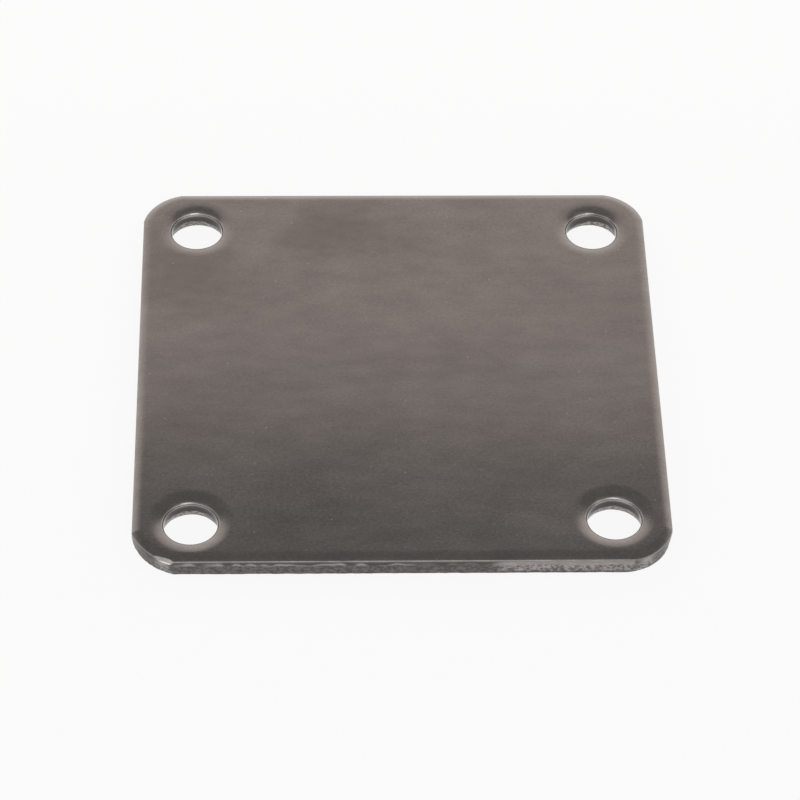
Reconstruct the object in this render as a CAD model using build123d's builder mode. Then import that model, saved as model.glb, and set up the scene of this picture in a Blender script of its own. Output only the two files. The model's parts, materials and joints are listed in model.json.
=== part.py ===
from build123d import *
import os
from dataclasses import dataclass
from math import atan2, cos, degrees, radians, sin

# Rectangular cover plate: one blank sheared from flat steel, with a bolt hole pierced in each corner.
# Millimetres, +Z up. The origin is the middle of the underside, and X runs along the longer side.
#
# Shearing gives every cut edge the same kind of section. From the top face down, the metal is first
# drawn over in a die roll, then stands straight in a burnished land, and then breaks away into the
# body, so the outline gets smaller, and the holes wider, towards the underside.

# Plate
length = 70.0  # along X
width = 69.0  # along Y
thickness = 3.0

# Bolt holes, one in each corner. The pattern was pierced a little nearer the front than the back.
hole_diameter = 7.0
hole_inset_side = 7.45  # from the left or right side to a hole's axis
hole_inset_front = 7.0  # from the front side to a hole's axis
hole_inset_back = 7.3  # from the back side to a hole's axis

# Bright crescent skimmed off the upper edge of the front left corner by one flat cut
skim_facing = 247.0  # the way it faces, in degrees from +X
skim_slope = 49.0  # degrees down from level
skim_height = 2.1  # above the underside, at the lowest point that it reaches on the wall

clear = 1.0  # how far a cutting section reaches past the metal


@dataclass(frozen=True)
class ShearedEdge:
    """The section of one cut edge, from the top face to the underside."""

    roll_width: float  # from the wall to where the top face starts to dip
    roll_depth: float  # how far it has dipped when it reaches the wall
    shoulder: float  # radius between the die roll and the wall
    land: float  # height of the burnished land, shoulder included
    breakaway: float  # how far the broken wall has gone into the body at the underside
    foot: float  # bevel left on the lower edge by tumbling


@dataclass(frozen=True)
class CornerCut:
    """One stroke of the corner tool. It overruns both sides, which leaves a crease at each end."""

    radius: float
    overrun: float

    @property
    def inset(self) -> float:
        """How far in from both sides the axis of the cut stands."""
        return self.radius - self.overrun


side_edge = ShearedEdge(roll_width=1.4, roll_depth=0.45, shoulder=0.2, land=0.8, breakaway=0.1, foot=0.12)
corner_edge = ShearedEdge(roll_width=1.4, roll_depth=0.45, shoulder=0.2, land=0.8, breakaway=0.22, foot=0.12)
hole_edge = ShearedEdge(roll_width=2.0, roll_depth=0.45, shoulder=0.4, land=1.3, breakaway=0.3, foot=0.1)

usual_corner = CornerCut(radius=6.8, overrun=0.15)
front_left_corner = CornerCut(radius=8.15, overrun=0.45)


def cut_section(wall: Plane, edge: ShearedEdge, reach: float) -> Sketch:
    """What a cut takes away beside an edge. On its plane the wall is at x = 0, and the metal at x < 0."""
    rim = thickness - edge.roll_depth
    with BuildSketch(wall) as section:
        with BuildLine():
            roll = TangentArc((-edge.roll_width, thickness), (0, rim), tangent=(1, 0))
            Polyline(
                roll @ 1,
                (0, rim - edge.land),
                (-edge.breakaway, edge.foot),
                (-edge.breakaway - edge.foot, 0),
                (-edge.breakaway - edge.foot, -clear),
                (reach, -clear),
                (reach, thickness + clear),
                (-edge.roll_width, thickness + clear),
                roll @ 0,
            )
        make_face()
        shoulder = section.vertices().sort_by_distance(wall.from_local_coords((0, rim)))[0]
        fillet(shoulder, radius=edge.shoulder)
    return section.sketch


def wall_plane(x: float, y: float, facing: float) -> Plane:
    """An upright plane across a wall at (x, y) that faces the given way, in degrees from +X."""
    out = Vector(cos(radians(facing)), sin(radians(facing)), 0)
    return Plane(origin=(x, y, 0), x_dir=out, z_dir=out.cross(Vector(0, 0, 1)))


def upright_axis(x: float, y: float) -> Axis:
    """The vertical line through (x, y)."""
    return Axis((x, y, 0), (0, 0, 1))


with BuildPart() as cover_plate:
    # The blank
    Box(length, width, thickness, align=(Align.CENTER, Align.CENTER, Align.MIN))

    # The four straight sides
    for facing, half, run in ((0, length / 2, width), (90, width / 2, length)):
        for side in (facing, facing + 180):
            x, y = half * cos(radians(side)), half * sin(radians(side))
            section = cut_section(wall_plane(x, y, side), side_edge, clear)
            extrude(section, amount=run / 2 + clear, both=True, mode=Mode.SUBTRACT)

    # The four corners
    for sx, sy in ((1, 1), (-1, 1), (-1, -1), (1, -1)):
        corner = front_left_corner if (sx, sy) == (-1, -1) else usual_corner
        x, y = sx * (length / 2 - corner.inset), sy * (width / 2 - corner.inset)
        diagonal = degrees(atan2(sy, sx))
        start = radians(diagonal - 45)
        wall = wall_plane(x + corner.radius * cos(start), y + corner.radius * sin(start), diagonal - 45)
        section = cut_section(wall, corner_edge, corner.radius)
        revolve(section, axis=upright_axis(x, y), revolution_arc=90, mode=Mode.SUBTRACT)

    # The skimmed crescent
    out = Vector(cos(radians(skim_facing)), sin(radians(skim_facing)), 0)
    up = Vector(0, 0, 1)
    across = up.cross(out)
    normal = out * sin(radians(skim_slope)) + up * cos(radians(skim_slope))
    corner = front_left_corner
    axis = Vector(corner.inset - length / 2, corner.inset - width / 2, skim_height)
    with BuildSketch(Plane(origin=axis + out * corner.radius, x_dir=across, z_dir=normal)) as skim:
        Rectangle(corner.radius, corner.radius / 2)
    extrude(skim.sketch, amount=clear, mode=Mode.SUBTRACT)

    # The four holes
    for x in (hole_inset_side - length / 2, length / 2 - hole_inset_side):
        for y in (hole_inset_front - width / 2, width / 2 - hole_inset_back):
            wall = wall_plane(x + hole_diameter / 2, y, 180)
            section = cut_section(wall, hole_edge, hole_diameter / 2)
            revolve(section, axis=upright_axis(x, y), mode=Mode.SUBTRACT)

cover_plate.part.label = "cover_plate"
os.makedirs("parts", exist_ok=True)
export_step(cover_plate.part, "parts/cover_plate.step")
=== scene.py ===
"""Looks of the sheared steel cover plate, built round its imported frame.

The plate is one piece. Its mesh is worked out here from the section that shearing leaves on every cut
edge, and one steel finish dresses it, with its zones told apart by attributes on the vertices.
"""

import json
import logging
import math
from dataclasses import dataclass
from enum import Enum
from functools import reduce

import bpy
import numpy as np
from mathutils import Matrix, Vector
from mathutils.geometry import delaunay_2d_cdt

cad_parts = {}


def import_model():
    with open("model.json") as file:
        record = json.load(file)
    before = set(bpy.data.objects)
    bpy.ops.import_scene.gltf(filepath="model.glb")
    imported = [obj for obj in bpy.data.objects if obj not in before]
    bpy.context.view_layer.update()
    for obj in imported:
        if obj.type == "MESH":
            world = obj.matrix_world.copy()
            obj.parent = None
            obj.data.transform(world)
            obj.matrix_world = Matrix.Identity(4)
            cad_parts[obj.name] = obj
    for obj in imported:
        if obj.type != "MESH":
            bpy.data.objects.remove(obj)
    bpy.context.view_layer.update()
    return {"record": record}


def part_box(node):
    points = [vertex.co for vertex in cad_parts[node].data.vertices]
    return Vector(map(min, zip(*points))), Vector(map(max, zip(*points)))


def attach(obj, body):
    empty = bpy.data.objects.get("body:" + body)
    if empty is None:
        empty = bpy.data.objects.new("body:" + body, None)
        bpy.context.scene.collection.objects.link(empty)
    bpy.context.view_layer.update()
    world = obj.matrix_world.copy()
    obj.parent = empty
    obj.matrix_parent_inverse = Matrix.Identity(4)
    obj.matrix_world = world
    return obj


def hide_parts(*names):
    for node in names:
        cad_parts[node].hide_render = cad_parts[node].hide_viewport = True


MM = 0.001  # metres in a millimetre
NODE = "cover_plate"
SEED = 41

log = logging.getLogger("cover_plate")


# ---------------------------------------------------------------- smooth chance


def smoothstep(low: float, high: float, value: np.ndarray) -> np.ndarray:
    """Smooth rise from 0 at low to 1 at high: 3 u squared less 2 u cubed."""
    u = np.clip((value - low) / (high - low), 0.0, 1.0)
    return u * u * (3.0 - 2.0 * u)


def wander(along: np.ndarray, length: float, pitch: float, rng: np.random.Generator) -> np.ndarray:
    """A smooth random curve round a closed edge: a sum of cosines with random strengths and phases.

    Args:
        along: Distance of each column along the edge, in millimetres.
        length: The whole way round.
        pitch: Length of the shortest waves.
        rng: Source of the strengths and phases.

    Returns:
        One value per column, with mean about 0 and spread 1.
    """
    waves = np.arange(1, max(2, int(length / pitch)) + 1)
    strength = rng.normal(size=waves.size) / np.sqrt(waves.size / 2.0)
    phase = rng.uniform(0.0, 2.0 * np.pi, waves.size)
    turns = np.outer(along / length * 2.0 * np.pi, waves) + phase
    return np.cos(turns) @ strength


def grain(columns: int, rows: int, across: float, down: float, rng: np.random.Generator) -> np.ndarray:
    """Blurred chance over a closed band: white noise times a Gaussian in the frequency plane.

    Args:
        columns: Points round the band, which closes on itself.
        rows: Points down the band.
        across: Blur along the band, in columns.
        down: Blur down the band, in rows.
        rng: Source of the noise.

    Returns:
        Array of columns by rows, with mean 0 and spread 1.
    """
    white = rng.normal(size=(columns, 2 * rows))
    u = np.fft.fftfreq(columns)[:, None]
    v = np.fft.rfftfreq(2 * rows)[None, :]
    pass_band = np.exp(-2.0 * np.pi**2 * ((u * across) ** 2 + (v * down) ** 2))
    blurred = np.fft.irfft2(np.fft.rfft2(white) * pass_band, s=white.shape)[:, :rows]
    return (blurred - blurred.mean()) / blurred.std()


# ---------------------------------------------------------------- shape


class Zone(Enum):
    """Attributes on the plate's vertices that tell its zones apart."""

    # Rubbed wear on the shoulders, and a painted highlight on the back of each hole's shoulder.
    WEAR_AND_HIGHLIGHT = "worn"
    # Where the skim cuts the roll; it carries a painted highlight.
    SKIM = "skim"
    WALL = "wall"
    TORN = "torn"
    # A hole's brighter broken band, and painted sheen and highlights on the walls.
    FINISH_AND_SHEEN = "gleam"
    BORE = "bore"


@dataclass(frozen=True)
class ShearedEdge:
    """Section of one cut edge, in millimetres, from the top face down to the underside."""

    roll_width: float
    roll_depth: float
    shoulder: float
    land: float
    breakaway: float
    foot: float
    tear: float = 0.02  # depth of the torn grain in the broken band
    roll_steps: int = 11
    shoulder_steps: int = 7
    wall_steps: int = 17

    @property
    def roll_radius(self) -> float:
        """Radius of the arc that falls roll_depth in roll_width, level where it leaves the top face."""
        return (self.roll_width**2 + self.roll_depth**2) / (2.0 * self.roll_depth)

    @property
    def meet(self) -> float:
        """Slope at which the roll passes into the shoulder, an arc tangent to it and to the wall."""
        return math.asin((self.roll_width - self.shoulder) / (self.roll_radius - self.shoulder))

    def drop(self, inset: np.ndarray) -> np.ndarray:
        """How far the drawn-over surface lies under the top face.

        The roll: radius less the root of (radius squared less (width - inset) squared). The shoulder, on
        the last of the way to the wall: its centre's drop less the same root for its own circle.

        Args:
            inset: Distance into the metal from the wall.

        Returns:
            The drop, 0 beyond the roll's width.
        """
        big, small = self.roll_radius, self.shoulder
        roll = big - np.sqrt(big**2 - np.clip(self.roll_width - inset, 0.0, self.roll_width) ** 2)
        centre = big - (big - small) * math.cos(self.meet)
        turn = centre - np.sqrt(small**2 - np.clip(small - inset, 0.0, small) ** 2)
        return np.where(inset < small * (1.0 - math.sin(self.meet)), turn, roll)

    def stations(self, band: float) -> np.ndarray:
        """Insets of the rows from a band's inner edge to the wall, even in slope round both arcs."""
        first = math.asin(max(0.0, self.roll_width - band) / self.roll_radius)
        roll = self.roll_width - self.roll_radius * np.sin(np.linspace(first, self.meet, self.roll_steps))
        turn = self.shoulder * (1.0 - np.sin(np.linspace(self.meet, np.pi / 2.0, self.shoulder_steps)))
        apron = [band] if band > self.roll_width else []
        return np.concatenate([apron, roll, turn[1:]])


@dataclass
class Rim:
    """One cut edge carried round its path: a grid of columns round the path by rows down the section."""

    points: np.ndarray  # columns x rows x 3, in millimetres
    zones: dict[Zone, np.ndarray]  # each columns x rows


class Path:
    """A closed path in plan that a sheared edge is carried along."""

    def place(self, inset: np.ndarray, corner_inset: np.ndarray) -> np.ndarray:
        """Plan positions of a grid, given how far each point stands into the metal."""
        raise NotImplementedError

    def columns(self) -> tuple[np.ndarray, np.ndarray]:
        """Distance of each column along the wall, and its outward direction in plan."""
        raise NotImplementedError


@dataclass(frozen=True)
class Corner:
    """A corner cut: an arc about an axis that stands in from both sides by its radius less the overrun."""

    turn_x: int
    turn_y: int
    radius: float
    overrun: float

    @property
    def start(self) -> float:
        """Direction from the axis to the first of the two sides, going anticlockwise."""
        return math.atan2(self.turn_y, self.turn_x) - np.pi / 4.0

    def axis(self, length: float, width: float) -> np.ndarray:
        """Plan position of the arc's axis."""
        inset = self.radius - self.overrun
        return np.array([self.turn_x * (length / 2.0 - inset), self.turn_y * (width / 2.0 - inset)])


@dataclass(frozen=True)
class Outline(Path):
    """The plate's outline: four straight sides and four corner cuts, anticlockwise from the front right."""

    length: float
    width: float
    corners: tuple[Corner, ...]
    pitch: float  # distance between columns

    def place(self, inset: np.ndarray, corner_inset: np.ndarray) -> np.ndarray:
        """Plan positions of the grid.

        Each side moves in by its inset, and each arc shrinks by its own. They meet in a crease where the
        side's line crosses the arc, at the angle whose cosine is (axis inset - inset) / (radius - inset).
        A column keeps its share of the way along its side or arc.

        Args:
            inset: Columns by rows, how far the straight sides stand in.
            corner_inset: The same for the corner arcs.

        Returns:
            Columns by rows by 2.
        """
        parts, ends = [], []
        counts = self._counts()
        base = 0
        for k, corner in enumerate(self.corners):
            n_arc, n_side = counts[k]
            rows_in, rows_arc = inset[base : base + n_arc], corner_inset[base : base + n_arc]
            radius = corner.radius - rows_arc
            lean = np.arccos(np.clip((corner.radius - corner.overrun - rows_in) / radius, -1.0, 1.0))
            share = np.linspace(0.0, 1.0, n_arc)[:, None]
            angle = corner.start + lean + share * (np.pi / 2.0 - 2.0 * lean)
            centre = corner.axis(self.length, self.width)
            arc = centre + radius[..., None] * np.stack([np.cos(angle), np.sin(angle)], -1)
            parts.append(arc)
            ends.append((arc[0], arc[-1]))
            base += n_arc + n_side
        sides = []
        base = 0
        for k in range(4):
            n_arc, n_side = counts[k]
            share = (np.arange(n_side) + 1.0)[:, None, None] / (n_side + 1.0)
            side = ends[k][1] + share * (ends[(k + 1) % 4][0] - ends[k][1])
            out = self._facing(k)
            half = self.length / 2.0 if abs(out[0]) > 0.5 else self.width / 2.0
            rows_in = inset[base + n_arc : base + n_arc + n_side]
            flush = (half - rows_in)[..., None] * out
            side = side * (1.0 - np.abs(out)) + flush
            sides.append(side)
            base += n_arc + n_side
        return np.concatenate([block for pair in zip(parts, sides) for block in pair])

    def columns(self) -> tuple[np.ndarray, np.ndarray]:
        """Distance of each column along the wall, and its outward direction in plan."""
        flat = np.zeros((sum(a + b for a, b in self._counts()), 1))
        wall = self.place(flat, flat)[:, 0]
        step = np.linalg.norm(np.roll(wall, -1, 0) - wall, axis=1)
        along = np.concatenate([[0.0], np.cumsum(step)[:-1]])
        ahead = np.roll(wall, -1, 0) - np.roll(wall, 1, 0)
        out = np.stack([ahead[:, 1], -ahead[:, 0]], -1)
        return along, out / np.linalg.norm(out, axis=1, keepdims=True)

    def _facing(self, k: int) -> np.ndarray:
        """Outward direction of the side after corner k."""
        angle = self.corners[k].start + np.pi / 2.0
        return np.round([math.cos(angle), math.sin(angle)])

    def _counts(self) -> list[tuple[int, int]]:
        """Columns on each corner's arc and on the side after it."""
        counts = []
        for k, corner in enumerate(self.corners):
            after = self.corners[(k + 1) % 4]
            side = self.width if abs(self._facing(k)[0]) > 0.5 else self.length
            arc = corner.radius * np.pi / 2.0
            run = side - corner.radius - after.radius
            counts.append((round(arc / self.pitch), round(run / self.pitch)))
        return counts


@dataclass(frozen=True)
class Bore(Path):
    """A round hole's wall. Its columns go clockwise, so that the same faces look out of the metal."""

    x: float
    y: float
    radius: float
    pitch: float

    def place(self, inset: np.ndarray, corner_inset: np.ndarray) -> np.ndarray:
        """Plan positions: a circle about (x, y), whose radius grows by the inset."""
        angle = -np.linspace(0.0, 2.0 * np.pi, inset.shape[0], endpoint=False)[:, None]
        reach = self.radius + inset
        return np.stack([self.x + reach * np.cos(angle), self.y + reach * np.sin(angle)], -1)

    def columns(self) -> tuple[np.ndarray, np.ndarray]:
        """Distance of each column along the wall, and its direction out of the metal."""
        count = round(2.0 * np.pi * self.radius / self.pitch)
        angle = -np.linspace(0.0, 2.0 * np.pi, count, endpoint=False)
        out = -np.stack([np.cos(angle), np.sin(angle)], -1)
        return -angle * self.radius, out


@dataclass(frozen=True)
class Skim:
    """The flat skimmed off the front left corner: a plane through a point of the corner's wall."""

    x: float
    y: float
    height: float
    facing: float  # degrees from +X
    slope: float  # degrees down from level

    def surface(self, plan: np.ndarray) -> np.ndarray:
        """Height of the plane: it falls by the slope's tangent for each millimetre along its facing."""
        turn = math.radians(self.facing)
        ahead = (plan[..., 0] - self.x) * math.cos(turn) + (plan[..., 1] - self.y) * math.sin(turn)
        return self.height - ahead * math.tan(math.radians(self.slope))


@dataclass(frozen=True)
class Tearing:
    """The line where the wall begins to break, and the grain that tearing leaves below it."""

    slow_wave: float = 6.0  # shortest of the line's slow waves, in millimetres
    quick_wave: float = 1.2  # and of its quick ones
    quick_share: float = 0.6
    waver: float = 0.09  # how far the line strays, in millimetres
    onset: float = 0.12  # share of the broken band over which the grain sets in
    tall_grain: tuple[float, float] = (1.3, 2.2)  # blur in columns and rows
    long_grain: tuple[float, float] = (3.5, 1.2)
    long_share: float = 0.6
    bite: float = 0.8  # added to the grain, so that most of it goes into the metal
    most: float = 4.0  # deepest grain, in shares of the section's tear


@dataclass(frozen=True)
class WearAndHighlight:
    """How tumbling has rubbed the shoulders bright, and the painted highlight on the back of each hole's
    shoulder.
    """

    spread: float = 0.42  # half of the rubbed ridge, as a share of the shoulder's rows
    wave: float = 2.5  # shortest of its patches, in millimetres
    usual: float = 0.8
    swing: float = 0.3
    limits: tuple[float, float] = (0.2, 1.2)
    hole_sides: float = 0.1  # how much of it the front and sides of a hole have
    hole_back_highlight: float = 1.1  # and the painted highlight added on its back
    highlight_reach: tuple[float, float] = (0.55, 0.95)  # cosines from the back where the painted highlight starts and is full


@dataclass(frozen=True)
class WallFinishAndSheen:
    """How bright the walls are: a hole's broken band, a lip, and painted sheen and highlights.
    Heights are above the underside, in millimetres.
    """

    slow_wave: float = 9.0
    quick_wave: float = 1.6
    lip_height: float = 1.82  # of the bright lip under the shoulder
    lip_slow: float = 0.05  # how far the slow and the quick waves move it
    lip_quick: float = 0.09
    lip_reach: float = 0.17
    lip_usual: float = 0.7  # brightness of the lip, and how far the quick waves swing it
    lip_swing: float = 0.4
    lip_limits: tuple[float, float] = (0.1, 1.0)
    stretch_start: float = 0.38  # of half the length, where a side's painted sheen begins
    stretch_blend: float = 1.5
    stretch_foot: tuple[float, float] = (0.3, 0.7)  # heights over which it fades to the foot
    stretch_sheen: float = 0.75  # brightness of the painted sheen
    lip_left: tuple[float, float] = (6.0, -4.0)  # places along a side from which the lip brightens
    lip_share: float = 0.3  # brightness of the lip all along a side
    lip_left_share: float = 0.7  # and what is added there
    corner_start: tuple[float, float] = (2.0, 12.0)  # degrees round a corner over which its painted highlight comes
    corner_end: tuple[float, float] = (88.0, 78.0)  # and go
    left_corner_highlight: tuple[float, float] = (63.0, 7.0)  # middle and reach of a left corner's painted highlight
    right_corner_highlight: tuple[float, float] = (27.0, 10.0)
    bore: float = 0.8  # how bright a hole's broken band is
    bore_end_highlight: float = 0.05  # reach of the painted highlights at a hole's two ends, as what the cosine lacks of 1


@dataclass
class CoverPlate:
    """The plate: length, width and thickness come from the frame, and the holes from its mount."""

    length: float
    width: float
    thickness: float
    holes: tuple[tuple[float, float], ...]
    hole_radius: float
    side_edge: ShearedEdge = ShearedEdge(1.4, 0.45, 0.18, 0.8, 0.10, 0.12)
    corner_breakaway: float = 0.22
    hole_edge: ShearedEdge = ShearedEdge(2.1, 0.48, 0.5, 1.4, 0.3, 0.1)
    corner_radius: float = 6.8
    corner_overrun: float = 0.15
    front_left_radius: float = 8.15
    front_left_overrun: float = 0.45
    skim_facing: float = 247.0
    skim_slope: float = 62.0
    skim_height: float = 2.12
    drift: tuple[tuple[float, float], ...] = ((0.12, -0.30), (0.0, 0.24), (0.12, -0.08), (0.0, 0.10))
    hole_band: float = 1.2  # of a hole's roll that is carried round it; the fill makes the rest
    pitch: float = 0.2  # between the columns of the cut edges
    flat_pitch: float = 2.0  # between the points inside the flat faces
    apron: float = 0.3  # level strip between a cut edge and the flat faces
    foot_round: float = 0.35  # where the row that rounds the foot's bevel stands, as a share of the foot
    probes: int = 400  # points of each section that are tried for meeting the skim
    skim_gap: float = 0.02  # between the roll's last row and the skim
    skim_rows: tuple[float, ...] = (0.0, 0.04, 0.28, 0.52, 0.76, 0.96, 1.0)  # for the shoulder's seven rows
    skim_shows: tuple[float, float] = (0.004, 0.02)  # depths cut away where the skim starts and is full
    ring_gap: float = 0.22  # between the circles of points round the holes
    ring_points: int = 120
    dish_start: float = 0.3  # nearest to a hole's wall that its roll is worked out for the rest of the face
    clearance: float = 0.15  # from a fill's points to the cut edges
    tearing: Tearing = Tearing()
    wear: WearAndHighlight = WearAndHighlight()
    marks: WallFinishAndSheen = WallFinishAndSheen()

    def build(self) -> bpy.types.Object:
        """Works out the cut edges and fills the two faces between them."""
        rng = np.random.default_rng(SEED)
        reach = self.side_edge.roll_width + self.apron
        rims = [self._rim(self._outline(), self.side_edge, reach, self.corner_breakaway, rng)]
        for bore in self._bores():
            rims.append(self._rim(bore, self.hole_edge, self.hole_band, self.hole_edge.breakaway, rng))
        return self._mesh(rims)

    def _outline(self) -> Outline:
        """The plate's outline, with the flatter cut at the front left."""
        usual = (self.corner_radius, self.corner_overrun)
        corners = (
            Corner(1, -1, *usual),
            Corner(1, 1, *usual),
            Corner(-1, 1, *usual),
            Corner(-1, -1, self.front_left_radius, self.front_left_overrun),
        )
        return Outline(self.length, self.width, corners, self.pitch)

    def _bores(self) -> list[Bore]:
        """The holes, each a little off its place in the pattern, as the punch wandered."""
        places = zip(self.holes, self.drift)
        return [Bore(x + dx, y + dy, self.hole_radius, self.pitch) for (x, y), (dx, dy) in places]

    def _skim(self) -> Skim:
        """The plane of the skimmed corner, through the lowest point that it reaches on the wall."""
        inset = self.front_left_radius - self.front_left_overrun
        turn = math.radians(self.skim_facing)
        x = inset - self.length / 2.0 + self.front_left_radius * math.cos(turn)
        y = inset - self.width / 2.0 + self.front_left_radius * math.sin(turn)
        return Skim(x, y, self.skim_height, self.skim_facing, self.skim_slope)

    def _dish(self, plan: np.ndarray) -> np.ndarray:
        """How far the holes' rolls pull the top face down at each plan position."""
        fall = np.zeros(plan.shape[:-1])
        for bore in self._bores():
            away = np.hypot(plan[..., 0] - bore.x, plan[..., 1] - bore.y) - bore.radius
            fall += self.hole_edge.drop(np.maximum(away, self.dish_start))
        return fall

    def _crown(self, path: Path, edge: ShearedEdge, band: float) -> tuple[np.ndarray, ...]:
        """Insets and heights of the drawn-over rows, cut down where the skim crosses them.

        Where the skim meets a column's section within the roll, the roll's rows close up to that point
        and the shoulder's rows are spread over the flat.

        Args:
            path: The outline or a hole.
            edge: Its section.
            band: Inset of the first row.

        Returns:
            Insets, heights, and heights had the skim not been made, each as columns by rows.
        """
        count = path.columns()[0].size
        rows = np.tile(edge.stations(band), (count, 1))
        last = rows.shape[1] - edge.shoulder_steps
        fine = np.tile(np.linspace(band, 0.0, self.probes), (count, 1))
        over = self.thickness - edge.drop(fine) - self._skim().surface(path.place(fine, fine))
        met = np.where(over.max(1) > 0.0, fine[0][np.argmax(over > 0.0, 1)], 0.0)[:, None]
        start = rows[:, last : last + 1]
        share = np.array(self.skim_rows)
        closed = met + self.skim_gap + (rows - start) * (edge.roll_width - met) / (edge.roll_width - start)
        spread = np.concatenate([closed[:, :last], met * (1.0 - share)], 1)
        spread[:, 0] = rows[:, 0]
        rows = np.where(met > start, spread, rows)
        plan = path.place(rows, rows)
        dish = self._dish(plan) if isinstance(path, Outline) else 0.0
        whole = self.thickness - edge.drop(rows) - dish
        return rows, np.minimum(whole, self._skim().surface(plan)), whole

    def _rim(
        self, path: Path, edge: ShearedEdge, band: float, corner_breakaway: float, rng: np.random.Generator
    ) -> Rim:
        """Carries an edge's section round a path.

        The rows are the crown, the wall, the foot and a level apron. The wall is upright down to a
        wavering line, and from there it leans into the metal by the breakaway, torn by grain.

        Args:
            path: The outline or a hole.
            edge: Its section.
            band: Inset of the crown's first row.
            corner_breakaway: The breakaway on the corner arcs.
            rng: Source of the waver and the grain.

        Returns:
            The rim's points and zones.
        """
        along, out = path.columns()
        count = along.size
        around = along[-1] + along[1]
        crown_in, crown_high, whole = self._crown(path, edge, band)
        top = crown_high[:, -1:]
        share = np.linspace(0.0, 1.0, edge.wall_steps + 1)[1:]
        wall_high = top + share * (edge.foot - top)
        foot_in = np.array([self.foot_round, 1.0, 1.0 + self.apron / edge.foot]) * edge.foot
        foot_high = np.tile(np.array([self.foot_round, 0.0, 0.0]) * edge.foot, (count, 1))
        tearing = self.tearing
        waver = wander(along, around, tearing.slow_wave, rng)
        waver = waver + tearing.quick_share * wander(along, around, tearing.quick_wave, rng)
        tear_line = (self.thickness - edge.roll_depth - edge.land + tearing.waver * waver)[:, None]
        below = np.clip((tear_line - wall_high) / (tear_line - edge.foot), 0.0, 1.0)
        below = np.concatenate([below, np.ones(foot_high.shape)], 1)
        extra = np.concatenate([np.zeros(edge.wall_steps), foot_in])
        inset = np.concatenate([crown_in, edge.breakaway * below + extra], 1)
        corner_inset = np.concatenate([crown_in, corner_breakaway * below + extra], 1)
        plan = path.place(inset, corner_inset)
        high = np.concatenate([crown_high, wall_high, foot_high], 1)
        crown, rows = crown_in.shape[1], high.shape[1]
        level = 2  # rows that lie on the underside, which isn't torn
        torn = np.zeros((count, rows))
        torn[:, crown : rows - level] = smoothstep(0.0, tearing.onset, below[:, :-level])
        torn_grain = grain(count, rows, *tearing.tall_grain, rng)
        torn_grain = torn_grain + tearing.long_share * grain(count, rows, *tearing.long_grain, rng)
        depth = edge.tear * torn * np.clip(tearing.bite + torn_grain, 0.0, tearing.most)
        plan = plan - out[:, None, :] * depth[..., None]

        skimmed = smoothstep(*self.skim_shows, whole - crown_high)
        zones = {
            Zone.WEAR_AND_HIGHLIGHT: self._worn(crown, rows, edge, along, around, rng) * self._wear_and_highlight_reach(path, out),
            Zone.SKIM: np.pad(skimmed, ((0, 0), (0, rows - crown))),
            Zone.WALL: np.tile((np.arange(rows) >= crown).astype(float), (count, 1)),
            Zone.TORN: torn,
            Zone.FINISH_AND_SHEEN: self._finish_and_sheen(path, plan, high, out, along, around, rng),
            Zone.BORE: np.full((count, rows), float(isinstance(path, Bore))),
        }
        return Rim(np.concatenate([plan, high[..., None]], -1), zones)

    def _worn(
        self,
        crown: int,
        rows: int,
        edge: ShearedEdge,
        along: np.ndarray,
        around: float,
        rng: np.random.Generator,
    ) -> np.ndarray:
        """How bright tumbling has rubbed the shoulder: strongest in its middle rows, patchy round it.

        Args:
            crown: Number of rows above the wall.
            rows: Number of rows in all.
            edge: The section.
            along: Distance of each column round the path.
            around: The whole way round.
            rng: Source of the patches.

        Returns:
            Columns by rows.
        """
        wear = self.wear
        middle = crown - edge.shoulder_steps / 2.0
        ridge = np.exp(-(((np.arange(rows) - middle) / (wear.spread * edge.shoulder_steps)) ** 2))
        patchy = np.clip(wear.usual + wear.swing * wander(along, around, wear.wave, rng), *wear.limits)
        return ridge * patchy[:, None]

    def _wear_and_highlight_reach(self, path: Path, out: np.ndarray) -> np.ndarray:
        """Share of the shoulder's wear: all of it along the outline; on a hole, a little round it and a
        painted highlight on its back.
        """
        if isinstance(path, Bore):
            return self.wear.hole_sides + self.wear.hole_back_highlight * smoothstep(*self.wear.highlight_reach, -out[:, 1:])
        return np.ones((len(out), 1))

    def _finish_and_sheen(
        self,
        path: Path,
        plan: np.ndarray,
        high: np.ndarray,
        out: np.ndarray,
        along: np.ndarray,
        around: float,
        rng: np.random.Generator,
    ) -> np.ndarray:
        """How bright the cut wall is, from 0 for dull to 1 for bright.

        A bore is bright in its broken band, with painted highlights all the way down at its left and
        right ends. The outline's walls are dull, with a bright wavering lip under the shoulder and a
        painted sheen over a stretch of each side. Each corner's wall has one painted highlight.

        Args:
            path: The outline or a hole.
            plan: Plan positions of the grid.
            high: Heights of the grid.
            out: Outward direction of each column.
            along: Distance of each column round the path.
            around: The whole way round.
            rng: Source of the waver.

        Returns:
            Columns by rows.
        """
        marks = self.marks
        if isinstance(path, Bore):
            # Painted highlights down the hole's left and right ends.
            end_highlight = np.exp(-(((1.0 - np.abs(out[:, :1])) / marks.bore_end_highlight) ** 2))
            return marks.bore + end_highlight + np.zeros(high.shape)
        slow = wander(along, around, marks.slow_wave, rng)[:, None]
        quick = wander(along, around, marks.quick_wave, rng)[:, None]
        lip_high = marks.lip_height + marks.lip_slow * slow + marks.lip_quick * quick
        lip = np.exp(-(((high - lip_high) / (marks.lip_reach + marks.lip_slow * slow)) ** 2))
        lip = lip * np.clip(marks.lip_usual + marks.lip_swing * quick, *marks.lip_limits)
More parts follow.
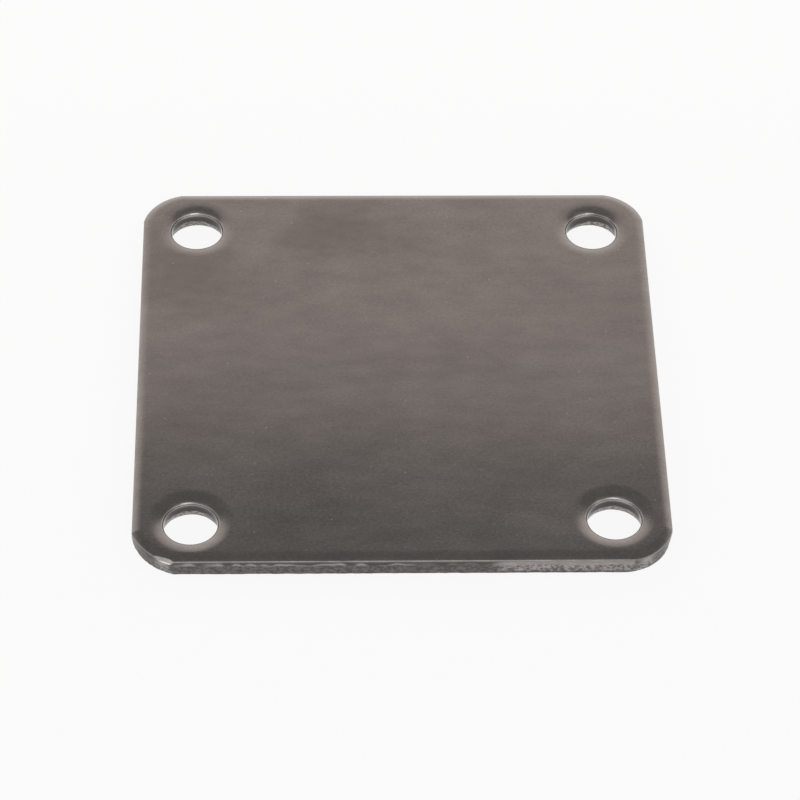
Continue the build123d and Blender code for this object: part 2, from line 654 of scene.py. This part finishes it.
        # Painted sheen over a stretch of each side.
        place = plan[..., 0] * -out[:, None, 1]
        start = self.length / 2.0 * marks.stretch_start
        stretch = smoothstep(-marks.stretch_blend, marks.stretch_blend, place - start + slow)
        stretch = stretch * marks.stretch_sheen * smoothstep(*marks.stretch_foot, high)
        left = smoothstep(*marks.lip_left, place + 2.0 * slow)
        bright = np.clip(stretch + lip * (marks.lip_share + marks.lip_left_share * left), 0.0, 1.0)

        # Each corner's wall gets one painted highlight patch in place of the side's marks.
        facing = np.degrees(np.arctan2(out[:, 1], out[:, 0]))[:, None] % 90.0
        at_corner = smoothstep(*marks.corner_start, facing) * smoothstep(*marks.corner_end, facing)
        corner_highlights = [np.exp(-(((facing - at) / reach) ** 2)) for at, reach in (marks.left_corner_highlight, marks.right_corner_highlight)]
        glow = np.where(out[:, 0][:, None] < 0.0, *corner_highlights)
        return bright * (1.0 - at_corner) + glow * at_corner

    def _mesh(self, rims: list[Rim]) -> bpy.types.Object:
        """Joins the rims and the fills of the two flat faces in one closed mesh."""
        vertices, faces, grids = [], [], []
        total = 0
        for rim in rims:
            columns, rows = rim.points.shape[:2]
            vertices.append(rim.points.reshape(-1, 3))
            grid = total + np.arange(columns * rows).reshape(columns, rows)
            ahead = np.roll(grid, -1, 0)
            quads = np.stack([grid[:, :-1], grid[:, 1:], ahead[:, 1:], ahead[:, :-1]], -1)
            faces.append(quads.reshape(-1, 4))
            grids.append(grid)
            total += columns * rows
        fills = []
        for row, up in ((0, True), (-1, False)):
            ids = [grid[:, row] for grid in grids]
            loops = [rim.points[:, row, :2] for rim in rims]
            inner, triangles = self._fill(loops, self._rings() if up else np.zeros((0, 2)), up)
            height = self.thickness - self._dish(inner) if up else np.zeros(len(inner))
            vertices.append(np.column_stack([inner, height]))
            numbering = np.concatenate([*ids, total + np.arange(len(inner))])
            fills.append(numbering[triangles])
            total += len(inner)
        points = np.concatenate(vertices)
        quads, triangles = np.concatenate(faces), np.concatenate(fills)
        mesh = bpy.data.meshes.new(NODE + "_steel")
        corners = np.concatenate([quads.ravel(), triangles.ravel()])
        sizes = np.concatenate([np.full(len(quads), 4), np.full(len(triangles), 3)])
        mesh.vertices.add(len(points))
        mesh.vertices.foreach_set("co", (points * MM).astype(np.float32).ravel())
        mesh.loops.add(len(corners))
        mesh.loops.foreach_set("vertex_index", corners.astype(np.int32))
        mesh.polygons.add(len(sizes))
        mesh.polygons.foreach_set("loop_start", (np.cumsum(sizes) - sizes).astype(np.int32))
        mesh.polygons.foreach_set("use_smooth", np.ones(len(sizes), bool))
        mesh.update(calc_edges=True)
        for zone in Zone:
            values = np.zeros(total, np.float32)
            shares = np.concatenate([rim.zones[zone].ravel() for rim in rims])
            values[: shares.size] = shares
            mesh.attributes.new(zone.value, "FLOAT", "POINT").data.foreach_set("value", values)
        mesh.validate()
        piece = bpy.data.objects.new(NODE + "_steel", mesh)
        bpy.context.scene.collection.objects.link(piece)
        return piece

    def _rings(self) -> np.ndarray:
        """Points on circles round the holes that carry the outer part of their rolls."""
        last = self.hole_edge.roll_width + self.apron
        radii = self.hole_radius + np.arange(self.hole_band + self.ring_gap, last, self.ring_gap)
        turn = np.linspace(0.0, 2.0 * np.pi, self.ring_points, endpoint=False)
        circle = np.stack([np.cos(turn), np.sin(turn)], -1)
        rings = [np.array([bore.x, bore.y]) + radii[:, None, None] * circle for bore in self._bores()]
        return np.concatenate([ring.reshape(-1, 2) for ring in rings])

    def _fill(self, loops: list[np.ndarray], extra: np.ndarray, up: bool) -> tuple[np.ndarray, np.ndarray]:
        """Fills a flat face between the outline's loop and the holes' loops with triangles.

        Args:
            loops: Plan positions of each loop, the outline first.
            extra: Plan positions of points that the face needs inside.
            up: Whether the face looks up.

        Returns:
            Plan positions of the points inside the face, and triangles that number the loops' points
            first, in order, and these after them.
        """
        edge = np.concatenate(loops)
        extra = extra[self._within(extra, loops)]
        extra = extra[self._gap(extra, edge) > self.clearance]
        steps_x = np.arange(-self.length / 2.0, self.length / 2.0, self.flat_pitch)
        steps_y = np.arange(-self.width / 2.0, self.width / 2.0, self.flat_pitch)
        field = np.stack(np.meshgrid(steps_x, steps_y, indexing="ij"), -1).reshape(-1, 2)
        field = field[self._within(field, loops)]
        field = field[self._gap(field, np.concatenate([edge, extra])) > 0.4 * self.flat_pitch]
        field = np.concatenate([extra, field])
        bounds = np.cumsum([0, *map(len, loops)])
        links = [
            np.column_stack([np.arange(a, b), np.roll(np.arange(a, b), -1)])
            for a, b in zip(bounds[:-1], bounds[1:])
        ]
        plan = np.concatenate([edge, field])
        made = delaunay_2d_cdt(plan.tolist(), np.concatenate(links).tolist(), [], 1, 1e-7, False)
        triangles = np.array(made[2])
        if len(made[0]) != len(plan):
            raise ValueError("the fill moved or added points")
        triangles = triangles[self._within(plan[triangles].mean(1), loops)]
        a, b, c = (plan[triangles[:, i]] for i in range(3))
        area = (b - a)[:, 0] * (c - a)[:, 1] - (b - a)[:, 1] * (c - a)[:, 0]
        turned = (area > 0.0) != up
        triangles[turned] = triangles[turned][:, ::-1]
        return field, triangles

    @staticmethod
    def _gap(points: np.ndarray, others: np.ndarray) -> np.ndarray:
        """Distance from each point to the nearest of the others."""
        if not len(points):
            return np.zeros(0)
        return np.sqrt(((points[:, None] - others[None]) ** 2).sum(-1)).min(1)

    @staticmethod
    def _within(points: np.ndarray, loops: list[np.ndarray]) -> np.ndarray:
        """Whether each point is on the face: inside the outline's loop and outside every hole's.

        Inside is told by the sum of the angles that the loop's steps subtend at the point.
        """
        inside = np.ones(len(points), bool)
        for k, loop in enumerate(loops):
            ray = loop[None] - points[:, None]
            ahead = np.roll(ray, -1, 1)
            cross = ray[..., 0] * ahead[..., 1] - ray[..., 1] * ahead[..., 0]
            dot = (ray * ahead).sum(-1)
            turns = np.abs(np.arctan2(cross, dot).sum(1)) > np.pi
            inside &= turns if k == 0 else ~turns
        return inside


# ---------------------------------------------------------------- shader maths


class Field:
    """A node's output. Arithmetic on it adds Math nodes to its tree."""

    def __init__(self, tree: "Tree", socket: bpy.types.NodeSocket) -> None:
        """Keeps the tree that new nodes go into, and the socket."""
        self.tree = tree
        self.socket = socket

    def _math(self, operation: str, a: "Field | float", b: "Field | float" = 0.0) -> "Field":
        """A Math node on two values."""
        return self.tree.node("ShaderNodeMath", {"operation": operation}, {0: a, 1: b})

    def __add__(self, other: "Field | float") -> "Field":
        """Sum."""
        return self._math("ADD", self, other)

    __radd__ = __add__

    def __sub__(self, other: "Field | float") -> "Field":
        """Difference."""
        return self._math("SUBTRACT", self, other)

    def __rsub__(self, other: float) -> "Field":
        """Difference, reflected."""
        return self._math("SUBTRACT", other, self)

    def __mul__(self, other: "Field | float") -> "Field":
        """Product."""
        return self._math("MULTIPLY", self, other)

    def __truediv__(self, other: "Field | float") -> "Field":
        """Quotient."""
        return self._math("DIVIDE", self, other)

    def __pow__(self, other: float) -> "Field":
        """Power."""
        return self._math("POWER", self, other)

    def above(self, low: float, high: float) -> "Field":
        """Smooth rise from 0 at low to 1 at high."""
        settings = {"interpolation_type": "SMOOTHSTEP"}
        return self.tree.node("ShaderNodeMapRange", settings, {0: self, 1: low, 2: high})

    def least(self, other: "Field") -> "Field":
        """The lesser of two values."""
        return self._math("MINIMUM", self, other)

    def capped(self) -> "Field":
        """The value kept between 0 and 1."""
        return self.tree.node("ShaderNodeClamp", {}, {0: self})


class Tree:
    """A node tree, with one method that adds any node."""

    def __init__(self, owner: bpy.types.Material | bpy.types.World) -> None:
        """Starts the owner's tree afresh."""
        owner.use_nodes = True
        self.nodes = owner.node_tree.nodes
        self.links = owner.node_tree.links
        self.nodes.clear()

    def node(
        self,
        kind: str,
        settings: dict[str, object] | None = None,
        inputs: dict[int | str, object] | None = None,
        output: int | str = 0,
    ) -> Field:
        """Adds a node.

        Args:
            kind: The node's type.
            settings: Its properties, set first. "stops" fills a colour ramp.
            inputs: Values or fields for its sockets.
            output: The socket to return.

        Returns:
            The node's output.
        """
        node = self.nodes.new(kind)
        for name, value in (settings or {}).items():
            if name == "stops":
                self._stops(node.color_ramp, value)
            else:
                setattr(node, name, value)
        for name, value in (inputs or {}).items():
            if isinstance(value, Field):
                self.links.new(value.socket, node.inputs[name])
            else:
                node.inputs[name].default_value = value
        return Field(self, node.outputs[output]) if len(node.outputs) else Field(self, None)

    @staticmethod
    def _stops(ramp: bpy.types.ColorRamp, stops: list[tuple[float, tuple[float, ...]]]) -> None:
        """Fills a colour ramp with (place, colour) stops."""
        while len(ramp.elements) < len(stops):
            ramp.elements.new(1.0)
        for element, (place, colour) in zip(ramp.elements, stops):
            element.position = place
            element.color = colour

    def mix(self, mask: Field | float, a: object, b: object) -> Field:
        """Colour a where the mask is 0 and b where it is 1."""
        return self.node("ShaderNodeMix", {"data_type": "RGBA"}, {0: mask, 6: a, 7: b}, 2)

    def shade(self, colour: object, value: Field | float) -> Field:
        """A colour times a grey value."""
        grey = self.node("ShaderNodeCombineColor", {}, {0: value, 1: value, 2: value})
        settings = {"data_type": "RGBA", "blend_type": "MULTIPLY"}
        return self.node("ShaderNodeMix", settings, {0: 1.0, 6: colour, 7: grey}, 2)

    def axes(self, vector: Field) -> tuple[Field, Field, Field]:
        """The three parts of a vector."""
        parts = self.node("ShaderNodeSeparateXYZ", {}, {0: vector}).socket.node.outputs
        return tuple(Field(self, parts[i]) for i in range(3))

    def zone(self, zone: Zone) -> Field:
        """A zone's attribute on the mesh."""
        return self.node("ShaderNodeAttribute", {"attribute_name": zone.value}, {}, "Fac")

    def place(self, stretch: tuple[float, float, float] = (1.0, 1.0, 1.0), turn: float = 0.0) -> Field:
        """Object coordinates in millimetres, turned about Z by degrees and then divided by stretch."""
        coordinates = self.node("ShaderNodeTexCoord", {}, {}, "Object")
        if turn:
            inputs = {"Vector": coordinates, "Rotation": (0.0, 0.0, math.radians(turn))}
            coordinates = self.node("ShaderNodeMapping", {"vector_type": "TEXTURE"}, inputs)
        scale = [1.0 / MM / part for part in stretch]
        return self.node("ShaderNodeMapping", {}, {"Vector": coordinates, "Scale": scale})

    def noise(
        self,
        size: float,
        detail: float,
        stretch: tuple[float, float, float] = (1.0, 1.0, 1.0),
        turn: float = 0.0,
        rough: float = 0.5,
    ) -> Field:
        """Cloudy noise.

        Args:
            size: Of its lumps, in millimetres.
            detail: How many finer layers are added.
            stretch: How many times longer the lumps are along each axis.
            turn: Of the lumps about Z, in degrees.
            rough: How strong the finer layers are.

        Returns:
            Values that lie mostly between 0.25 and 0.75.
        """
        vector = self.place(stretch, turn)
        inputs = {"Vector": vector, "Scale": 1.0 / size, "Detail": detail, "Roughness": rough}
        return self.node("ShaderNodeTexNoise", {}, inputs)


# ---------------------------------------------------------------- finishes


@dataclass(frozen=True)
class Smudge:
    """A darker smudge on the top face: its middle and its half sizes, in millimetres."""

    x: float
    y: float
    half_x: float
    half_y: float


@dataclass(frozen=True)
class SheetSteel:
    """Pickled and tumbled sheet steel, with burnished and torn cut edges, and painted sheen and
    highlights on the walls, shoulders and skim. Sizes are in millimetres.
    """

    skin: tuple[float, ...] = (0.198, 0.183, 0.173, 1.0)
    smudge: tuple[float, ...] = (0.150, 0.130, 0.118, 1.0)
    speck: tuple[float, ...] = (0.36, 0.345, 0.33, 1.0)
    # Colour of rubbed shoulders, and of the painted highlight on the back of holes' shoulders.
    rubbed: tuple[float, ...] = (0.52, 0.49, 0.475, 1.0)
    # Near-white painted highlight on the skimmed flat.
    skimmed: tuple[float, ...] = (0.86, 0.83, 0.81, 1.0)
    # Dark burnished land, partly painted shade: it stands for the shaded surroundings that the land reflects.
    land: tuple[float, ...] = (0.080, 0.073, 0.069, 1.0)
    dull: tuple[float, ...] = (0.092, 0.083, 0.079, 1.0)
    # Also the colour of the painted sheen and highlights on the walls.
    bright: tuple[float, ...] = (0.36, 0.333, 0.320, 1.0)
    skin_roughness: float = 0.24
    torn_roughness: float = 0.42
    cloud_size: float = 11.0
    patch_size: float = 2.4
    grain_size: float = 0.33
    mottle_size: float = 0.38
    ragged_size: float = 3.0
    relief: float = 0.02  # height of the bumps
    cloud_swing: float = 0.34  # how far the clouds, patches and grain change the skin's tone
    patch_swing: float = 0.42
    grain_swing: float = 0.55
    rub_share: float = 0.30  # brightness of the rubbed shoulders
    hole_highlight_share: float = 0.75  # and the painted highlight added on the holes' shoulders
    smudges: tuple[Smudge, ...] = (Smudge(-29.0, 18.0, 7.0, 7.5), Smudge(-9.0, 27.0, 9.0, 4.5))
    smudge_fade: tuple[float, float] = (0.1, 1.7)  # share of a smudge's half size where it thins and ends
    top_heights: tuple[float, float] = (2.4, 2.6)  # over which the top face's own marks set in
    skim_foot_highlight: tuple[float, float] = (2.16, 2.30)  # heights between which the painted highlight along the skim's foot fades
    cell_size: float = 1.0 / 0.55  # of the cells that hold one speck at most
    speck_radii: tuple[float, float] = (0.035, 0.085)  # in cells, where a speck thins and ends
    drag_size: float = 0.22
    drag_stretch: float = 26.0
    drag_turn: float = 4.0  # degrees

    def material(self) -> bpy.types.Material:
        """Builds the material."""
        material = bpy.data.materials.new("sheet_steel")
        tree = Tree(material)
        cloud = tree.noise(self.cloud_size, 4.0, (1.7, 1.0, 1.0))
        patch = tree.noise(self.patch_size, 4.0, (2.2, 1.0, 1.0), rough=0.6)
        fine = tree.noise(self.grain_size, 3.0, (1.3, 1.0, 1.0), rough=0.7)
        torn = tree.zone(Zone.TORN)
        tone = 1.0 + (cloud - 0.5) * self.cloud_swing + (patch - 0.5) * self.patch_swing
        tone = tone + (fine - 0.5) * self.grain_swing
        colour = tree.mix(tree.zone(Zone.WALL), self._skin(tree, tone, fine), self._cut(tree, fine))
        colour = self._wear_and_highlights(tree, colour, fine)

        roughness = (cloud - 0.5) * 0.10 + (fine - 0.5) * 0.16 + self.skin_roughness
        roughness = roughness + torn * (self.torn_roughness - self.skin_roughness)
        height = (patch - 0.5) * 0.5 + (fine - 0.5) * (0.30 + torn * 0.9)
        relief = {"Strength": 0.3, "Distance": self.relief * MM, "Height": height}
        bump = tree.node("ShaderNodeBump", {}, relief, "Normal")
        shader = tree.node(
            "ShaderNodeBsdfPrincipled",
            {},
            {"Base Color": colour, "Metallic": 1.0, "Roughness": roughness, "Normal": bump},
        )
        tree.node("ShaderNodeOutputMaterial", {}, {"Surface": shader})
        return material

    def _skin(self, tree: Tree, tone: Field, fine: Field) -> Field:
        """Colour of the top face and the underside: clouded, with smudges and specks over it."""
        skin = tree.shade(self.skin, tone)
        skin = tree.mix(self._smudged(tree) * (0.1 + fine), skin, tree.shade(self.smudge, tone))
        return tree.mix(self._specks(tree), skin, self.speck)

    def _cut(self, tree: Tree, fine: Field) -> Field:
        """Colour of the cut walls: the smooth land, and the mottled broken band under it, both with
        painted sheen and highlights.
        """
        gleam = tree.zone(Zone.FINISH_AND_SHEEN)
        mottle = tree.noise(self.mottle_size, 3.0, (1.2, 1.2, 0.8), rough=0.7)
        spots = mottle.above(0.43, 0.58)
        share = (gleam * (0.22 + spots * 0.85) + spots * 0.26).capped()
        broken = tree.mix(share, self.dull, self.bright)
        # Painted sheen and highlights on the smooth land.
        streaks = (gleam - tree.zone(Zone.BORE)).capped()
        smooth = tree.mix(streaks * (0.7 + fine * 0.5), self.land, self.bright)
        return tree.mix(tree.zone(Zone.TORN), smooth, broken)

    def _wear_and_highlights(self, tree: Tree, colour: Field, fine: Field) -> Field:
        """Brightens rubbed shoulders and paints highlights on holes' backs and on the skim, most along its
        foot.
        """
        # Holes' shoulders get a painted highlight on top of their wear.
        share = self.rub_share + tree.zone(Zone.BORE) * self.hole_highlight_share
        rub_and_highlight = tree.zone(Zone.WEAR_AND_HIGHLIGHT) * (0.25 + fine) * share
        colour = tree.mix(rub_and_highlight.capped(), colour, self.rubbed)
        # Painted highlight on the skimmed flat, brightest along its foot.
        foot = 1.0 - tree.axes(tree.place())[2].above(*self.skim_foot_highlight)
        skim = tree.zone(Zone.SKIM) * (fine * 0.35 + foot * 0.8)
        return tree.mix(skim.capped(), colour, self.skimmed)

    def _smudged(self, tree: Tree) -> Field:
        """Share of the smudges, which have ragged edges: 1 inside, 0 well outside."""
        x, y, z = tree.axes(tree.place())
        ragged = tree.noise(self.ragged_size, 5.0, (1.5, 1.0, 1.0), rough=0.65)
        squares = [((x - s.x) / s.half_x) ** 2.0 + ((y - s.y) / s.half_y) ** 2.0 for s in self.smudges]
        near = reduce(Field.least, squares) ** 0.5 + (ragged - 0.5) * 2.2
        return (1.0 - near.above(*self.smudge_fade)) * z.above(*self.top_heights)

    def _specks(self, tree: Tree) -> Field:
        """Share of the sparse bright specks and of a few faint dragged scratches."""
        inputs = {"Vector": tree.place(), "Scale": 1.0 / self.cell_size}
        cells = tree.node("ShaderNodeTexVoronoi", {}, inputs, "Distance")
        specks = (1.0 - cells.above(*self.speck_radii)) * tree.noise(2.1, 1.0).above(0.50, 0.60)
        drag = tree.noise(self.drag_size, 2.0, (self.drag_stretch, 1.0, 1.0), self.drag_turn)
        return (specks * 0.75 + drag.above(0.70, 0.78) * 0.22).capped()


# ---------------------------------------------------------------- studio


@dataclass(frozen=True)
class Camera:
    """The camera: turned about the plate, raised, rolled, and set off from its middle."""

    turn: float = 2.2066
    raised: float = 45.947
    roll: float = 1.3747
    distance: float = 496.3
    right: float = -0.316  # where the plate's middle stands from the view's middle, across
    down: float = -2.331  # and down
    lens: float = 165.0
    sensor: float = 36.0

    def place(self) -> bpy.types.Object:
        """Sets the camera up: its axes are yawed about Z, pitched down and then rolled about the view."""
        yaw = Matrix.Rotation(math.radians(self.turn), 3, "Z")
        e = math.radians(self.raised)
        pitch = Matrix(((1, 0, 0), (0, -math.sin(e), -math.cos(e)), (0, math.cos(e), -math.sin(e))))
        roll = Matrix.Rotation(math.radians(self.roll), 3, "Z")
        turned = roll @ pitch @ yaw
        offset = Vector((self.right, self.down, self.distance)) * MM
        data = bpy.data.cameras.new("camera")
        data.lens = self.lens
        data.sensor_width = self.sensor
        data.clip_start = 0.01
        data.clip_end = 20.0
        camera = bpy.data.objects.new("camera", data)
        bpy.context.scene.collection.objects.link(camera)
        across, down, ahead = turned.row
        axes = Matrix((across, -Vector(down), -Vector(ahead))).transposed()
        camera.matrix_world = Matrix.Translation(-(turned.transposed() @ offset)) @ axes.to_4x4()
        bpy.context.scene.camera = camera
        return camera


@dataclass(frozen=True)
class Lamp:
    """A rectangular soft lamp. Places and sizes are in millimetres."""

    name: str
    place: tuple[float, float, float]
    aim: tuple[float, float, float]  # the point that it faces
    size: tuple[float, float]  # across and down
    radiance: float  # how bright its face looks, where 1 is white
    colour: tuple[float, float, float] = (1.0, 1.0, 1.0)

    def build(self) -> None:
        """Adds the lamp, unseen by the camera."""
        data = bpy.data.lights.new(self.name, "AREA")
        data.shape = "RECTANGLE"
        data.size = self.size[0] * MM
        data.size_y = self.size[1] * MM
        data.energy = self.radiance * math.pi * data.size * data.size_y
        data.color = self.colour
        lamp = bpy.data.objects.new(self.name, data)
        bpy.context.scene.collection.objects.link(lamp)
        turn = (Vector(self.aim) - Vector(self.place)).to_track_quat("-Z", "Y")
        lamp.matrix_world = Matrix.Translation(Vector(self.place) * MM) @ turn.to_matrix().to_4x4()
        lamp.visible_camera = False


@dataclass(frozen=True)
class Studio:
    """A white table under a pale sky that is bright low down and dim overhead, with soft lamps."""

    table_size: float = 6.0  # metres
    table_white: tuple[float, ...] = (0.9, 0.9, 0.9, 1.0)
    shadow_share: float = 0.10
    lamps: tuple[Lamp, ...] = (
        Lamp("back_card", (0.0, 90.0, 56.0), (0.0, 0.0, 56.0), (420.0, 110.0), 0.60, (1.0, 0.87, 0.84)),
        Lamp("front_box", (60.0, -420.0, 300.0), (0.0, 0.0, 0.0), (300.0, 300.0), 1.2),
    )
    sky_strength: float = 1.1
    sky: tuple[tuple[float, tuple[float, ...]], ...] = (  # sine of the height, and the colour there
        (0.0, (1.0, 1.0, 1.0, 1.0)),
        (0.20, (0.95, 0.95, 0.95, 1.0)),
        (0.34, (0.82, 0.81, 0.80, 1.0)),
        (0.50, (0.64, 0.63, 0.62, 1.0)),
        (0.62, (0.51, 0.505, 0.50, 1.0)),
        (0.71, (0.32, 0.32, 0.32, 1.0)),
        (0.77, (0.275, 0.275, 0.275, 1.0)),
        (0.87, (0.335, 0.335, 0.335, 1.0)),
        (0.94, (0.325, 0.325, 0.325, 1.0)),
        (1.0, (0.315, 0.315, 0.315, 1.0)),
    )

    def build(self) -> None:
        """Sets up the table, the sky and the lamps."""
        self._table()
        self._sky()
        for lamp in self.lamps:
            lamp.build()

    def _table(self) -> None:
        """A large white square, seen white by the camera and by gloss, with part of its shadows kept."""
        half = self.table_size / 2.0
        corners = [(-half, -half, 0.0), (half, -half, 0.0), (half, half, 0.0), (-half, half, 0.0)]
        mesh = bpy.data.meshes.new("table")
        mesh.from_pydata(corners, [], [(0, 1, 2, 3)])
        table = bpy.data.objects.new("table", mesh)
        bpy.context.scene.collection.objects.link(table)
        material = bpy.data.materials.new("table_white")
        tree = Tree(material)
        diffuse = tree.node("ShaderNodeBsdfDiffuse", {}, {"Color": self.table_white})
        glow = tree.node("ShaderNodeEmission", {}, {"Color": (1, 1, 1, 1), "Strength": 1.0})
        by_camera = tree.node("ShaderNodeLightPath", {}, {}, "Is Camera Ray")
        by_gloss = tree.node("ShaderNodeLightPath", {}, {}, "Is Glossy Ray")
        share = (by_camera + by_gloss).capped() * (1.0 - self.shadow_share)
        surface = tree.node("ShaderNodeMixShader", {}, {0: share, 1: diffuse, 2: glow})
        tree.node("ShaderNodeOutputMaterial", {}, {"Surface": surface})
        mesh.materials.append(material)

    def _sky(self) -> None:
        """A sky whose brightness goes by height: full at the horizon, falling to dim overhead."""
        world = bpy.data.worlds.new("studio_sky")
        bpy.context.scene.world = world
        tree = Tree(world)
        direction = tree.node("ShaderNodeTexCoord", {}, {}, "Generated")
        height = tree.node("ShaderNodeSeparateXYZ", {}, {0: direction}, "Z")
        ramp = tree.node("ShaderNodeValToRGB", {"stops": self.sky}, {0: height})
        sky = tree.node("ShaderNodeBackground", {}, {"Color": ramp, "Strength": self.sky_strength})
        tree.node("ShaderNodeOutputWorld", {}, {"Surface": sky})


# ---------------------------------------------------------------- assembly


def plate_from(frame: dict) -> CoverPlate:
    """The plate with its sizes read from the frame: the node's box and the corner holes' mount."""
    low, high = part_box(NODE)
    size = (high - low) / MM
    mount = next(m for m in frame["record"]["mounts"] if m["name"] == "corner_holes")
    dims = mount["dims"]
    middle = [value / MM for value in mount["pos_m"]]
    spread = [dims["spacing_x_mm"] / 2.0, dims["spacing_y_mm"] / 2.0]
    signs = ((-1, -1), (1, -1), (1, 1), (-1, 1))
    holes = tuple((middle[0] + a * spread[0], middle[1] + b * spread[1]) for a, b in signs)
    return CoverPlate(size.x, size.y, size.z, holes, dims["hole_r_mm"])


def main() -> None:
    """Builds the plate, dresses it, and sets up the studio round it."""
    logging.basicConfig(level=logging.INFO, format="%(message)s")
    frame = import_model()
    plate = plate_from(frame)
    piece = plate.build()
    piece.data.materials.append(SheetSteel().material())
    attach(piece, "root")
    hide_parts(NODE)
    triangles = sum(len(face.vertices) - 2 for face in piece.data.polygons)
    log.info("%s: %d triangles", piece.name, triangles)
    Studio().build()
    Camera().place()
    bpy.context.scene.view_settings.view_transform = "Standard"


if __name__ == "__main__":
    main()
